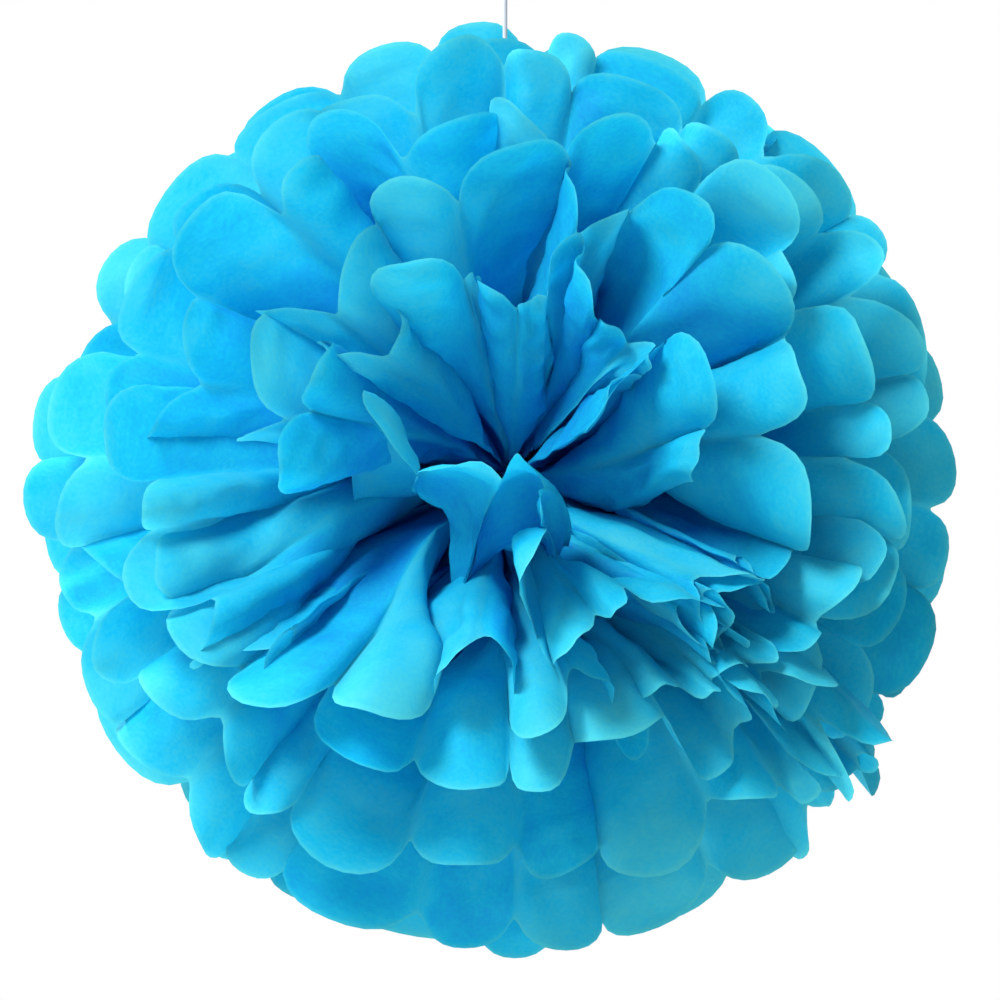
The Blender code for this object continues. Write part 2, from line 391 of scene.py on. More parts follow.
@dataclass(frozen=True)
class Paper:
    """How the tissue lies where it was pulled open.

    A zone is the stretch of the distance from the tie over which something sets in.
    """

    least_opening: float = 0.18
    sure_opening: float = 0.8
    overlap_zone: Zone = (0.004, 0.030)
    rim_zone: Zone = (0.015, 0.085)
    placed_mid_zone: Zone = (0.008, 0.055)
    placed_rim_zone: Zone = (0.055, 0.100)
    bend_start: float = 0.045
    bend_zone: Zone = (0.045, 0.108)
    seam_lift_zone: Zone = (0.010, 0.050)
    lean_zone: Zone = (0.030, 0.110)
    turn_zone: Zone = (0.040, 0.110)
    soft_zone: Zone = (0.055, 0.100)
    tip_roundness: float = 2.4
    tip_length: float = 0.034
    # Width of the painted highlight along the cut rims.
    edge_band: float = 0.0016
    # Width of the painted highlight along the folds.
    fold_band: float = 0.0012
    folded_tip: float = 0.40
    open_width: Zone = (0.006, 0.020)
    gather_power: float = 0.6
    fold_height: float = 0.016
    fold_height_zone: Zone = (0.050, 0.098)
    fold_lower: float = 0.0080
    placed_fold_lower: float = 0.0105
    flatter: float = 0.25
    flatter_zone: Zone = (0.060, 0.112)
    placed_flatter: float = 0.75
    placed_flatter_zone: Zone = (0.060, 0.105)
    wide_flatter: float = 0.28
    wide_panel: Zone = (0.016, 0.024)
    belly_for_room: float = 0.30
    belly_for_width: float = 0.12
    belly_most: float = 0.0075
    lean_scatter: float = 4.5
    turn_scatter: float = 2.5
    pole_curl: float = -0.0075
    curl_to_equator: float = 0.0055
    curl_scatter: float = 0.0045
    inward_bellies: float = -0.4
    outward_belly: float = -0.8
    ripple: float = 0.0021
    crease_lines: int = 5
    crease_zone: Zone = (0.02, 0.07)
    facet_waves: int = 7
    facet_length: float = 0.012
    facet_length_scatter: float = 0.006
    facet_height: float = 0.00020
    facet_zone: Zone = (0.020, 0.060)


@dataclass(frozen=True)
class Pull:
    """How one petal was pulled out by hand.

    Attributes:
        sheet: the sheet's number.
        fan: the fan it is in.
        petal: the petal's number, from the seam's left end.
        lean: how much further from the pole its tip stands.
        turn: how much it is turned round the pole, towards the seam's right end.
        curl: how far its tip bends towards the pole.
        longer: how much further it reaches.
        belly: how much of its spare width bulges towards the pole, or away where negative.
    """

    sheet: int
    fan: Fan
    petal: int
    lean: float = 0.0
    turn: float = 0.0
    curl: float = 0.0
    longer: float = 0.0
    belly: float = 1.0


@dataclass(frozen=True)
class Place:
    """Where the end of one fold was pulled to by hand, as the front view shows it.

    Attributes:
        clock: the way it points from the tie, anticlockwise from the right.
        tilt: its angle from the pole.
        mid_clock: the same way at half its length, where it isn't on the way there.
        mid_tilt: its angle from the pole at half its length.
    """

    clock: float
    tilt: float
    mid_clock: float | None = None
    mid_tilt: float | None = None


@dataclass
class Sheet:
    """One sheet of tissue, pleated, tied in its middle and fanned out at both ends."""

    number: int
    ball: Ball
    pulls: tuple[Pull, ...]
    places: dict[tuple[int, Fan], tuple[Place, ...]]
    paper: Paper = Paper()
    columns: int = 12
    rows: int = 54
    closer_rows: float = 0.35
    full_pleat_reach: float = 0.022
    open_panel: float = 0.0250
    seam_overlap: float = 4.0
    seam_lift: float = 3.2
    least_deeper: float = -0.0015
    pole_deeper: float = 0.0105
    first_hanging: int = 2
    most_hang: float = 19.0
    hang_step: float = 6.0
    side: Side = field(init=False)
    rank: int = field(init=False)

    def __post_init__(self) -> None:
        """Work out the sheet's side and rank, counted from that side's pole."""
        count = 2 * self.ball.sheets_a_side
        self.side = Side.FRONT if self.number <= self.ball.sheets_a_side else Side.BACK
        self.rank = self.number - 1 if self.side is Side.FRONT else count - self.number

    @property
    def name(self) -> str:
        """Give the name of the solid that this sheet dresses."""
        return f"sheet_{self.number:02d}"

    @property
    def share(self) -> float:
        """Give the sheet's place from its pole, 0, to the equator, 1."""
        return self.rank / (self.ball.sheets_a_side - 1)

    @property
    def angle(self) -> float:
        """Give the angle between the petals and the pole."""
        return self.ball.pole_angle + self.share * (self.ball.equator_angle - self.ball.pole_angle)

    @property
    def flare(self) -> float:
        """Give how much steeper the folds stand before they bend out."""
        return self.ball.pole_flare + self.share * (self.ball.equator_flare - self.ball.pole_flare)

    @property
    def deeper_notch(self) -> float:
        """Give how much deeper than in the solids the inner cups' petals are parted."""
        return self.least_deeper + self.pole_deeper * (1.0 - self.share)

    @property
    def hang(self) -> float:
        """Give how far the lower petals of the outer front cups hang towards the front."""
        if self.side is Side.BACK or self.rank < self.first_hanging:
            return 0.0
        return self.most_hang - self.hang_step * (self.rank - self.first_hanging)

    @property
    def pole(self) -> np.ndarray:
        """Give the way to the sheet's pole."""
        return np.array([0.0, -float(self.side.value), 0.0])

    @property
    def layer_pitch(self) -> float:
        """Give the distance between two sheets in the tie."""
        return self.ball.paper_thickness + self.ball.layer_gap

    @property
    def hub_radius(self) -> float:
        """Give the radius at which the pleats open."""
        return self.ball.waist_width / 2 + self.rank * self.layer_pitch

    @property
    def layer(self) -> np.ndarray:
        """Give the middle of the sheet's waist."""
        ball = self.ball
        layers_out = ball.sheets_a_side - 1 - self.rank
        depth = ball.middle_gap / 2 + ball.paper_thickness / 2 + layers_out * self.layer_pitch
        return ball.centre + depth * self.pole

    def even_shares(self, fan: Fan) -> np.ndarray:
        """Give how far round its fan each fold stands near the tie, from 0 to 1."""
        ball = self.ball
        shares = []
        for fold in range(ball.panels + 1):
            at_edge = fold in (0, ball.panels)
            loose = 0.0 if at_edge else ball.fold_scatter * scatter("fold", fan.value, fold)
            shares.append(self._share_of(fan, fold + loose))
        return np.array(shares)

    def _share_of(self, fan: Fan, u: float) -> float:
        """Give how far round its fan a column stands; some folds of the lower fan are bunched."""
        ball = self.ball
        if fan is Fan.UPPER:
            return u / ball.panels
        bunched = ball.bunched_angle / (180.0 - 2 * ball.fan_opening)
        free_panels = ball.panels - ball.bunched_panels
        if u <= free_panels:
            return u / free_panels * (1 - bunched)
        return 1 - bunched * (ball.panels - u) / ball.bunched_panels

    def rim_shares(self, fan: Fan) -> np.ndarray:
        """Give the folds' places at the rim, where half of the panels lie open over the others."""
        ball = self.ball
        even = self.even_shares(fan)
        steps = np.diff(even)
        free = ball.panels - (ball.bunched_panels if fan is Fan.LOWER else 0)
        chord = 2 * math.radians(90.0 + fan.value * ball.fan_opening) / ball.panels
        chord *= ball.reach(fan) * math.sin(math.radians(self.angle))
        opening = max(self.open_panel / chord - 1.0, self.paper.least_opening)
        luck = self._luck("open", fan)[:free]
        sign = np.where(np.argsort(np.argsort(luck)) >= free / 2, 1.0, -1.0)
        sure = self.paper.sure_opening
        change = sign * opening * (sure + (1.0 - sure) * np.abs(luck))
        steps[:free] *= 1.0 + change - change.mean()
        steps /= steps.sum()
        return np.concatenate([[0.0], np.cumsum(steps)])

    def fold_angles(self, fan: Fan, reach: np.ndarray) -> np.ndarray:
        """Give where each fold stands in its fan.

        Args:
            fan: the fan.
            reach: distances from the fan's root, of any shape.

        Returns:
            Angles with one more axis in front, for the folds.
        """
        ball = self.ball
        shape = (-1,) + (1,) * reach.ndim
        even = 2.0 * self.even_shares(fan).reshape(shape) - 1.0
        opened = fan.value * ball.fan_opening * reach / ball.upper_reach
        steep = math.sin(math.radians(self.angle - self.flare))
        radius = self.hub_radius + (reach - self.hub_radius) * steep
        closing = np.degrees(np.arcsin(np.minimum(0.9, ball.waist_length / 2 / radius)))
        overlap = self.seam_overlap * smooth(reach, *self.paper.overlap_zone)
        half = 90.0 + opened + closing + overlap
        if (self.number, fan) in self.places:
            seam = 90.0 + ball.seam_angle
            places = self.places[self.number, fan]
            clocks = np.array([place.clock for place in places])
            middles = np.array([np.nan if p.mid_clock is None else p.mid_clock for p in places])
            rim, middle = (
                (seam - c if fan is Fan.UPPER else c - 180.0 - seam).reshape(shape)
                for c in (clocks, middles)
            )
            middle = np.where(np.isnan(middle), 45.0 * even + 0.5 * rim, middle)
            first, second = self._placed_steps(reach)
            return half * even * (1 - first) + middle * (first - second) + rim * second
        rim = 2.0 * self.rim_shares(fan).reshape(shape) - 1.0
        blend = smooth(reach, *self.paper.rim_zone)
        return half * (even * (1 - blend) + rim * blend)

    def _placed_steps(self, reach: np.ndarray) -> tuple[np.ndarray, np.ndarray]:
        """Give the shares by which placed folds reach their middle place and their end."""
        middle, rim = self.paper.placed_mid_zone, self.paper.placed_rim_zone
        return smooth(reach, *middle), smooth(reach, *rim)

    def fold_polars(self, fan: Fan, reach: np.ndarray) -> np.ndarray:
        """Give the angle between each fold and the pole, with one axis for the folds in front."""
        ball = self.ball
        notch = ball.reach(fan) - ball.notch_depth
        rise = smooth(reach, self.paper.bend_start, notch)
        lean = self.angle - self.flare * (1 - rise)
        places = self.places.get((self.number, fan))
        polars = []
        for fold in range(ball.panels + 1):
            from_edge = min(fold, ball.panels - fold)
            lift = -fan.value * self.side.value * self.seam_lift * max(0.0, 1.0 - from_edge / 2.0)
            lifted = lift * smooth(reach, *self.paper.seam_lift_zone)
            if places:
                rim = places[fold].tilt
                middle = places[fold].mid_tilt
                middle = (self.angle - self.flare + rim) / 2 if middle is None else middle
                first, second = self._placed_steps(reach)
                near = self.angle - self.flare
                polars.append(near * (1 - first) + middle * (first - second) + rim * second)
            else:
                own = ball.polar_scatter * scatter("polar", self.number, fan.value, fold)
                polars.append(lean + own * rise + lifted)
        return np.array(polars)

    def surface(self, fan: Fan) -> dict[str, np.ndarray]:
        """Work out one fan's grid of points.

        Args:
            fan: the fan.

        Returns:
            Arrays by name: points, paper coordinates, and the petal attribute's three values,
            each with rows from the tie to the rim and one column for each cut across the fan.
        """
        ball, paper = self.ball, self.paper
        per = self.columns
        count = ball.panels * per + 1
        column = np.arange(count)
        panel = np.minimum(column // per, ball.panels - 1)
        step = (column - panel * per) / per
        inside = (1 - np.cos(np.pi * step)) / 2
        arch = np.sin(np.pi * step)

        deep = ball.notch_depth + self.deeper_notch
        notch = ball.reach(fan) - deep + ball.reach_scatter * self._luck("notch", fan, 1)
        tip = deep + ball.reach_scatter * self._luck("petal", fan)
        wanted = self._pulls_of(fan)
        tip = tip * self._openness(fan) + wanted["longer"]
        from_middle = np.abs(2.0 * inside - 1.0)
        round_end = np.sqrt(np.maximum(1.0 - from_middle**paper.tip_roundness, 0.0))
        length = notch[panel] * (1 - inside) + notch[panel + 1] * inside + tip[panel] * round_end
        reach = self.hub_radius + self._row_shares()[:, None] * (length[None, :] - self.hub_radius)
        lean, turned, curl = (
            self._spread(wanted[key], panel, inside, arch)[None] for key in ("lean", "turn", "curl")
        )
        lean = lean * smooth(reach, *paper.lean_zone)
        turned = turned * smooth(reach, *paper.turn_zone)

        angles = self.fold_angles(fan, reach)
        polars = self.fold_polars(fan, reach)
        heights = self._pleat_heights(fan, reach, angles)
        sides = []
        for fold in (panel, panel + 1):
            turn, polar, high = (
                np.take_along_axis(values, fold[None, None], axis=0)[0]
                for values in (angles, polars, heights)
            )
            sides.append(self._fold_point(fan, reach, turn + turned, polar + lean, high))
        (left, left_in), (right, right_in) = sides
        share = inside[None, :, None]
        points = left * (1 - share) + right * share
        inward = unit(left_in * (1 - share) + right_in * share)

        across = right - left
        width = np.linalg.norm(across, axis=-1)
        outward = unit((left + right) / 2 - self._root(fan))
        normal = unit(np.cross(across, outward))
        normal *= np.where(normal @ self.pole < 0, -1.0, 1.0)[..., None]
        bow = arch[None] * self._bellies(reach, width, across, outward)
        bow *= wanted["belly"][panel][None]
        tip_start = length[None] - paper.tip_length
        near_tip = np.clip((reach - tip_start) / paper.tip_length, 0.0, 1.0)
        bow += self._ripples(fan, panel, step, near_tip)
        creases = self._creases(fan, panel, inside, reach)
        bow += creases * arch[None] ** 0.5 * smooth(reach, *paper.crease_zone)
        bow += self._crumple(fan, column / per * ball.panel_width, reach)
        bent = (curl * near_tip**2)[..., None] * inward
        points = self._soften(points + bow[..., None] * normal + bent, reach)

        # Mask of the painted highlight along the cut rim.
        edge = np.clip(1.0 - (length[None] - reach) / paper.edge_band, 0.0, 1.0)
        # Mask of the painted highlight along the folds.
        from_fold = np.minimum(inside, 1 - inside)[None] * ball.panel_width
        fold = np.clip(1.0 - from_fold / paper.fold_band, 0, 1)
        shade = self._luck("shade", fan)
        flat = np.ones_like(reach)
        return {
            "points": points,
            "across": (column / per * ball.panel_width)[None] * flat,
            "along": fan.value * reach,
            "shade": (0.5 + 0.5 * shade[panel][None]) * flat,
            "edge": edge,
            "fold": fold * flat,
        }

    def _luck(self, what: str, fan: Fan, more: int = 0) -> np.ndarray:
        """Give a scatter for each petal of a fan, or for more than there are petals."""
        count = self.ball.panels + more
        return np.array([scatter(what, self.number, fan.value, k) for k in range(count)])

    def _openness(self, fan: Fan) -> np.ndarray:
        """Give how much of each petal's round end shows: less where a panel stays folded.

        The bunched panels of the outer cups keep theirs, as they end the lower right strips.
        """
        ball = self.ball
        rim = np.array([ball.reach(fan) - ball.notch_depth])
        chord = rim * math.sin(math.radians(self.angle))
        width = np.abs(chord * np.radians(np.diff(self.fold_angles(fan, rim)[:, 0])))
        least = self.paper.folded_tip
        shown = least + (1.0 - least) * smooth(width, *self.paper.open_width)
        if fan is Fan.LOWER and self.rank >= self.first_hanging:
            shown[-ball.bunched_panels :] = 1.0
        return shown

    @staticmethod
    def _spread(
        petals: np.ndarray, panel: np.ndarray, inside: np.ndarray, arch: np.ndarray
    ) -> np.ndarray:
        """Give each column its petal's value, with the mean of two petals at their common fold."""
        padded = np.concatenate([petals[:1], petals, petals[-1:]])
        folds = (padded[:-1] + padded[1:]) / 2
        edge = folds[panel] * (1 - inside) + folds[panel + 1] * inside
        return edge + (petals[panel] - edge) * arch**0.5

    def _soften(self, points: np.ndarray, reach: np.ndarray) -> np.ndarray:
        """Round the folds off a little where the paper was pulled open."""
        share = smooth(reach, *self.paper.soft_zone)[:, 1:-1, None]
        middle = (points[:, :-2] + 2 * points[:, 1:-1] + points[:, 2:]) / 4
        softer = points.copy()
        softer[:, 1:-1] += share * (middle - points[:, 1:-1])
        return softer

    def _row_shares(self) -> np.ndarray:
        """Give the rows' places from the hub, 0, to the rim, 1, closer together at the rim."""
        even = np.linspace(0.0, 1.0, self.rows)
        return even * (1.0 + self.closer_rows - self.closer_rows * even)

    def _root(self, fan: Fan) -> np.ndarray:
        """Give where the fan's folds start, on the sheet's centre line."""
        return self.layer + fan.value * self.ball.waist_length / 2 * self.ball.across_seam

    def _fold_point(
        self, fan: Fan, reach: np.ndarray, angle: np.ndarray, polar: np.ndarray, height: np.ndarray
    ) -> tuple[np.ndarray, np.ndarray]:
        """Give points on folds, and the sheet's mean direction to the pole there.

        Args:
            fan: the fan.
            reach: distances from the root.
            angle: where the folds stand in the fan.
            polar: their angles from the pole.
            height: how far they stand towards the pole, along the sheet's normal.
        """
        ball = self.ball
        turn, steep = np.radians(angle)[..., None], np.radians(polar)[..., None]
        direction = fan.value * np.cos(turn) * ball.across_seam + np.sin(turn) * ball.along_seam
        outward = np.sin(steep) * direction + np.cos(steep) * self.pole
        inward = np.sin(steep) * self.pole - np.cos(steep) * direction
        start = self._root(fan) + self.hub_radius * direction
        points = start + (reach - self.hub_radius)[..., None] * outward + height[..., None] * inward
        return points, inward

    def _pleat_heights(self, fan: Fan, reach: np.ndarray, angles: np.ndarray) -> np.ndarray:
        """Give how far each fold stands from the sheet's mean surface, with its sign."""
        ball, paper = self.ball, self.paper
        bent = smooth(reach, *paper.bend_zone)
        steep = np.sin(np.radians(self.angle - self.flare * (1 - bent)))
        chords = reach[None] * steep[None] * np.radians(np.diff(angles, axis=0))
        panel = ball.panel_width * np.maximum(self._gathered(reach), 1e-6)
        full = np.sqrt(np.maximum(panel[None] ** 2 - chords**2, 0.0)) / 2
        kept = 1.0 - paper.flatter * smooth(reach, *paper.flatter_zone)
        lower = paper.fold_lower
        if (self.number, fan) in self.places:
            lower = paper.placed_fold_lower
            kept *= 1.0 - paper.placed_flatter * smooth(reach, *paper.placed_flatter_zone)
        most = paper.fold_height - lower * smooth(reach, *paper.fold_height_zone)
        heights = np.concatenate([full[:1], np.minimum(full[1:], full[:-1]), full[-1:]])
        heights *= kept[None]
        signs = np.array([1.0 if fold % 2 else -1.0 for fold in range(ball.panels + 1)])
        signs *= self.side.value
        return np.minimum(heights, most[None]) * signs.reshape((-1,) + (1,) * reach.ndim)

    def _bellies(
        self, reach: np.ndarray, width: np.ndarray, across: np.ndarray, outward: np.ndarray
    ) -> np.ndarray:
        """Give each panel's bulge, which takes up the paper left between its folds."""
        paper = self.paper
        tangent = unit(np.cross(outward, self.pole[None, None]))
        room = np.abs(np.sum(across * tangent, axis=-1))
        spare = np.maximum(self.ball.panel_width * self._gathered(reach) - width, 0.0)
        flatter = 1.0 - paper.wide_flatter * smooth(width, *paper.wide_panel)
        depth = np.sqrt(3.0 / 8.0 * width * spare) * flatter
        fits = paper.belly_for_room * room + paper.belly_for_width * width
        return np.minimum(np.minimum(depth, fits), paper.belly_most)

    def _gathered(self, reach: np.ndarray) -> np.ndarray:
        """Give how much of a panel's width is open past the tie, from 0 to 1."""
        share = np.clip((reach - self.hub_radius) / self.full_pleat_reach, 0.0, 1.0)
        return share**self.paper.gather_power

    def _pulls_of(self, fan: Fan) -> dict[str, np.ndarray]:
        """Give each petal's pull as arrays by name: as listed, or else a little of each."""
        paper = self.paper
        names = ("lean", "turn", "curl", "longer", "belly")
        loose: dict[str, list[float]] = {name: [] for name in names}
        for petal in range(self.ball.panels):
            key = (self.number, fan.value, petal)
            hang = self.hang * math.sin(math.pi * (petal + 0.5) / self.ball.panels)
            hang = hang if fan is Fan.LOWER else 0.0
            curl = paper.pole_curl + paper.curl_to_equator * self.share
            inward = scatter("belly", *key) > paper.inward_bellies
            loose["lean"].append(paper.lean_scatter * scatter("lean", *key) - hang)
            loose["turn"].append(paper.turn_scatter * scatter("turn", *key))
            loose["curl"].append(curl + paper.curl_scatter * scatter("curl", *key))
            loose["longer"].append(0.0)
            loose["belly"].append(1.0 if inward else paper.outward_belly)
        for pull in self.pulls:
            if pull.sheet == self.number and pull.fan is fan:
                for name in loose:
                    loose[name][pull.petal] = getattr(pull, name)
        return {name: np.array(values) for name, values in loose.items()}

    def _ripples(
        self, fan: Fan, panel: np.ndarray, step: np.ndarray, near_tip: np.ndarray
    ) -> np.ndarray:
        """Give the waves of the cut edge."""
        size, phase = self._luck("ripple", fan), self._luck("phase", fan)
        waves = np.sin(np.pi * (2.0 + phase[panel]) * step * 1.5 + 3.0 * phase[panel])
        sized = self.paper.ripple * size[panel] * waves * np.sin(np.pi * step)
        return sized[None] * near_tip**2

    def _creases(
        self, fan: Fan, panel: np.ndarray, inside: np.ndarray, reach: np.ndarray
    ) -> np.ndarray:
        """Give the raised and sunk lines that handling left in each panel."""
        ball = self.ball
        total = np.zeros_like(reach)
        x = (inside[None] - 0.5) * ball.panel_width
        kinds = {  # Each crease's mean and scatter.
            "x": (0.0, 0.011),
            "y": (0.075, 0.040),
            "slant": (0.0, 0.75),
            "wide": (0.0055, 0.0025),
            "high": (0.0, 0.0020),
        }
        for line in range(self.paper.crease_lines):
            keys = [("crease", line, self.number, fan.value, k) for k in range(ball.panels)]
            x0, y0, slant, wide, high = (
                np.array([mean + spread * scatter(*key, kind) for key in keys])[panel][None]
                for kind, (mean, spread) in kinds.items()
            )
            away = np.abs((x - x0) * np.cos(slant) - (reach - y0) * np.sin(slant))
            total += high * np.maximum(0.0, 1.0 - away / wide)
        return total

    def _crumple(self, fan: Fan, across: np.ndarray, reach: np.ndarray) -> np.ndarray:
        """Give the small facets of soft paper, from a few folded waves in the paper's plane."""
        total = np.zeros_like(reach)
        paper = self.paper
        for wave in range(paper.facet_waves):
            key = (self.number, fan.value, wave)
            turn = math.pi * scatter("way", *key)
            length = paper.facet_length + paper.facet_length_scatter * scatter("length", *key)
            phase = math.pi * scatter("start", *key)
            along = across[None] * math.cos(turn) + reach * math.sin(turn)
            where = along * 2 * math.pi / length
            total += np.arcsin(np.sin(where + phase)) * 2 / math.pi
        return paper.facet_height * total * smooth(reach, *paper.facet_zone)

    def build(self, material: bpy.types.Material) -> bpy.types.Object:
        """Make the sheet's mesh from both fans and the waist between them."""
        fans = {fan: self.surface(fan) for fan in Fan}
        lower, upper = fans[Fan.LOWER], fans[Fan.UPPER]
        grid = {key: np.concatenate([lower[key][::-1], upper[key]]) for key in lower}
        rows, columns = grid["across"].shape
        index = np.arange(rows * columns).reshape(rows, columns)
        faces = np.stack([index[:-1, :-1], index[:-1, 1:], index[1:, 1:], index[1:, :-1]], axis=-1)
        faces = faces.reshape(-1, 4)
        if self.side is Side.BACK:
            faces = faces[:, ::-1]
        mesh = bpy.data.meshes.new(f"tissue_{self.number:02d}")
        mesh.from_pydata(grid["points"].reshape(-1, 3).tolist(), [], faces.tolist())
        self._paint(mesh, grid)
        mesh.polygons.foreach_set("use_smooth", [True] * len(mesh.polygons))
        mesh.materials.append(material)
        piece = bpy.data.objects.new(f"tissue_{self.number:02d}", mesh)
        bpy.context.scene.collection.objects.link(piece)
        return piece

    @staticmethod
    def _paint(mesh: bpy.types.Mesh, grid: dict[str, np.ndarray]) -> None:
        """Write the paper's own UV map and the petal attribute."""
        corner = np.empty(len(mesh.loops), dtype=np.int32)
        mesh.loops.foreach_get("vertex_index", corner)
        flat = np.stack([grid["across"].ravel(), grid["along"].ravel()], axis=-1)
        paper = mesh.uv_layers.new(name="paper")
        paper.uv.foreach_set("vector", flat[corner].astype(np.float32).ravel())
        # The petal attribute holds each petal's random tone and the masks of the painted highlights
        # on rims and folds.
        values = [grid["shade"].ravel(), grid["edge"].ravel(), grid["fold"].ravel()]
        values.append(np.ones_like(values[0]))
        colours = np.stack(values, axis=-1).astype(np.float32)
        petal = mesh.color_attributes.new("petal", "FLOAT_COLOR", "POINT")
        petal.data.foreach_set("color", colours.ravel())

    def declare(self, piece: bpy.types.Object) -> None:
        """Attach the sheet to the root body and hide the solid that it stands for."""
        ball = self.ball
        length = ball.upper_reach + ball.lower_reach + ball.waist_length
        cut_off = (1 - math.pi / 4) * (ball.notch_depth + self.deeper_notch) * ball.sheet_width * 2
        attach(piece, "root")
        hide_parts(self.name)
        ball.sheet_width * length - cut_off


@dataclass
class HangingThread:
    """The taut thread from the tie to the knot, with the loop that a hook carries.

    The knot's radius, thickness and pitch count in thread diameters.
    """

    ball: Ball
    diameter: float = 0.0012
    step: float = 0.0036
    knot_turns: int = 3
    knot_rise: float = 0.0018
    knot_radius: float = 0.72
    knot_thickness: float = 0.48
    knot_pitch: float = 0.8
    knot_tilt: tuple[float, float] = (0.22, 0.16)
    loop_points: int = 48
    loop_fullness: float = 1.05

    def build(self, material: bpy.types.Material) -> None:
        low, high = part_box("hanging_thread")
        bottom, top = low[2], high[2]
        steps = math.ceil((top - bottom) / self.step)
        route = [(0.0, 0.0, bottom + (top - bottom) * step / steps) for step in range(steps + 1)]
        thread = self._tube("thread", route, False, material)
        loop = self._loop(material)
        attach(thread, "root")
        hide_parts("hanging_thread")
        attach(loop, "root")
        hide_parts("hanging_loop")

    def _tube(
        self, name: str, route: Sequence[tuple], closed: bool, material: bpy.types.Material
    ) -> bpy.types.Object:
        """Make a round thread along a route."""
        curve = bpy.data.curves.new(name, "CURVE")
        curve.dimensions = "3D"
        curve.bevel_depth = self.diameter / 2
        curve.bevel_resolution = 4
        curve.use_fill_caps = not closed
        spline = curve.splines.new("POLY")
        spline.points.add(len(route) - 1)
        for point, place in zip(spline.points, route):
            point.co = (*place, 1.0)
        spline.use_cyclic_u = closed
        spline.use_smooth = True
        curve.materials.append(material)
        piece = bpy.data.objects.new(name, curve)
        bpy.context.scene.collection.objects.link(piece)
        return piece

    def _loop(self, material: bpy.types.Material) -> bpy.types.Object:
        """Make the loop, with the turns of its knot, as one mesh."""
        low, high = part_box("hanging_loop")
        top = high[2] - self.diameter / 2
        knot = low[2] + self.knot_rise
        wide = (high[0] - low[0]) / 2 - self.diameter / 2
        route = []
        for step in range(self.loop_points):
            turn = 2 * math.pi * step / self.loop_points
            rise = (1 - math.cos(turn)) / 2
            aside = wide * self.loop_fullness * math.sin(turn) * math.sqrt(math.sin(turn / 2))
            route.append((aside, 0.0, knot + (top - knot) * rise))
        tube = self._tube("loop_route", route, True, material)
        deselect()
        tube.select_set(True)
        bpy.context.view_layer.objects.active = tube
        bpy.ops.object.convert(target="MESH")
        made = [bpy.context.view_layer.objects.active]
        for turn in range(self.knot_turns):
            height = knot + (turn - (self.knot_turns - 1) / 2) * self.diameter * self.knot_pitch
            deselect()
            bpy.ops.mesh.primitive_torus_add(
                major_radius=self.diameter * self.knot_radius,
                minor_radius=self.diameter * self.knot_thickness,
                major_segments=28,
                minor_segments=12,
                location=(0.0, 0.0, height),
                rotation=(self.knot_tilt[0] * (-1) ** turn, self.knot_tilt[1], 0.0),
            )
            made.append(bpy.context.view_layer.objects.active)
        deselect()
        for piece in made:
            piece.select_set(True)
        bpy.context.view_layer.objects.active = made[0]
        bpy.ops.object.join()
        bpy.ops.object.transform_apply(location=True, rotation=True, scale=True)
        loop = bpy.context.view_layer.objects.active
        loop.name = "thread_loop"
        loop.data.materials.clear()
        loop.data.materials.append(material)
        bpy.ops.object.shade_smooth()
        deselect()
        return loop


@dataclass(frozen=True)
class Lamp:
    """A soft round lamp, at a place from the middle of the ball."""

    name: str
    place: tuple[float, float, float]
    size: float
    watts: float


